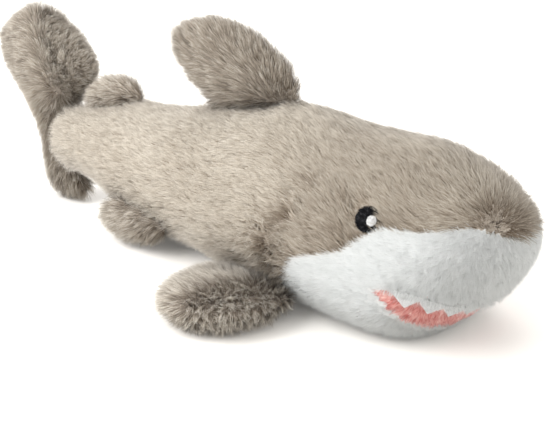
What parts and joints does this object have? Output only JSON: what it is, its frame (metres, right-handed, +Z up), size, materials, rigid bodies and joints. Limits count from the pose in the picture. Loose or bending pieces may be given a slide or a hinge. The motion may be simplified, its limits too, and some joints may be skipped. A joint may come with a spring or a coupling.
{
  "type": "plush shark",
  "caption": "Stuffed long-pile plush shark lying on its belly, with soft fins that flex at their seams, a bending tail, a felt-toothed mouth and embroidered eyes.",
  "frame": {"origin": "centre of the bounding box in plan, on the surface the belly rests on", "axes": "+X towards the nose, +Y towards the left side of the shark, +Z up"},
  "size_m": [0.437, 0.2122, 0.15],
  "materials": {
    "back_plush": "long-pile beige-grey plush",
    "fin_plush": "long-pile taupe plush",
    "white_plush": "short-pile white plush",
    "mouth_plush": "short-pile pink plush",
    "felt": "white felt",
    "black_embroidery": "black satin-stitch embroidery",
    "white_embroidery": "white satin-stitch embroidery",
    "fibre_filling": "loose polyester fibre"
  },
  "bodies": {
    "trunk": {"back_panel_left": "back_plush", "back_panel_right": "back_plush", "muzzle_panel": "white_plush", "chin_and_belly_panel": "white_plush", "mouth_lining": "mouth_plush", "felt_teeth": "felt", "eye_left": "black_embroidery", "eye_right": "black_embroidery", "eye_highlight_left": "white_embroidery", "eye_highlight_right": "white_embroidery", "trunk_filling": "fibre_filling"},
    "tail_stock": {"tail_stock_panel_left": "back_plush", "tail_stock_panel_right": "back_plush", "tail_stock_belly_panel": "white_plush", "tail_stock_filling": "fibre_filling"},
    "tail_fin": {"tail_fin_left": "fin_plush", "tail_fin_right": "fin_plush", "tail_fin_filling": "fibre_filling"},
    "dorsal_fin": {"dorsal_fin_left": "fin_plush", "dorsal_fin_right": "fin_plush", "dorsal_fin_filling": "fibre_filling"},
    "second_dorsal_fin": {"second_dorsal_fin_left": "fin_plush", "second_dorsal_fin_right": "fin_plush", "second_dorsal_fin_filling": "fibre_filling"},
    "pectoral_fin_left": {"pectoral_fin_left_upper": "fin_plush", "pectoral_fin_left_lower": "fin_plush", "pectoral_fin_left_filling": "fibre_filling"},
    "pectoral_fin_right": {"pectoral_fin_right_upper": "fin_plush", "pectoral_fin_right_lower": "fin_plush", "pectoral_fin_right_filling": "fibre_filling"},
    "pelvic_fin_left": {"pelvic_fin_left_upper": "fin_plush", "pelvic_fin_left_lower": "fin_plush", "pelvic_fin_left_filling": "fibre_filling"},
    "pelvic_fin_right": {"pelvic_fin_right_upper": "fin_plush", "pelvic_fin_right_lower": "fin_plush", "pelvic_fin_right_filling": "fibre_filling"}
  },
  "joints": [
    {"name": "tail_bend", "type": "hinge", "parent": "trunk", "child": "tail_stock", "pos_m": [-0.09317, 0, 0.05], "axis": [0, 0, 1], "range_deg": [-20, 20], "stiffness_Nm_per_rad": 0.2},
    {"name": "tail_fin_swing", "type": "hinge", "parent": "tail_stock", "child": "tail_fin", "pos_m": [-0.15817, 0, 0.05], "axis": [0, 0, 1], "range_deg": [-30, 30], "stiffness_Nm_per_rad": 0.05},
    {"name": "dorsal_fin_lean", "type": "hinge", "parent": "trunk", "child": "dorsal_fin", "pos_m": [0.03408, 0, 0.10385], "axis": [-0.98, 0, -0.1988], "range_deg": [-35, 35], "stiffness_Nm_per_rad": 0.05},
    {"name": "second_dorsal_fin_lean", "type": "hinge", "parent": "tail_stock", "child": "second_dorsal_fin", "pos_m": [-0.09417, 0, 0.0832], "axis": [-0.9778, 0, -0.2095], "range_deg": [-30, 30], "stiffness_Nm_per_rad": 0.03},
    {"name": "pectoral_fin_left_flap", "type": "hinge", "parent": "trunk", "child": "pectoral_fin_left", "pos_m": [0.07383, 0.0485, 0.012], "axis": [1, 0, 0], "range_deg": [0, 50], "stiffness_Nm_per_rad": 0.04},
    {"name": "pectoral_fin_right_flap", "type": "hinge", "parent": "trunk", "child": "pectoral_fin_right", "pos_m": [0.07383, -0.0485, 0.012], "axis": [-1, 0, 0], "range_deg": [0, 50], "stiffness_Nm_per_rad": 0.04},
    {"name": "pelvic_fin_left_flap", "type": "hinge", "parent": "trunk", "child": "pelvic_fin_left", "pos_m": [-0.03567, 0.03355, 0.02535], "axis": [0.9814, 0.0943, -0.1674], "range_deg": [0, 45], "stiffness_Nm_per_rad": 0.03},
    {"name": "pelvic_fin_right_flap", "type": "hinge", "parent": "trunk", "child": "pelvic_fin_right", "pos_m": [-0.03567, -0.03355, 0.02535], "axis": [-0.9814, 0.0943, 0.1674], "range_deg": [0, 45], "stiffness_Nm_per_rad": 0.03}
  ]
}
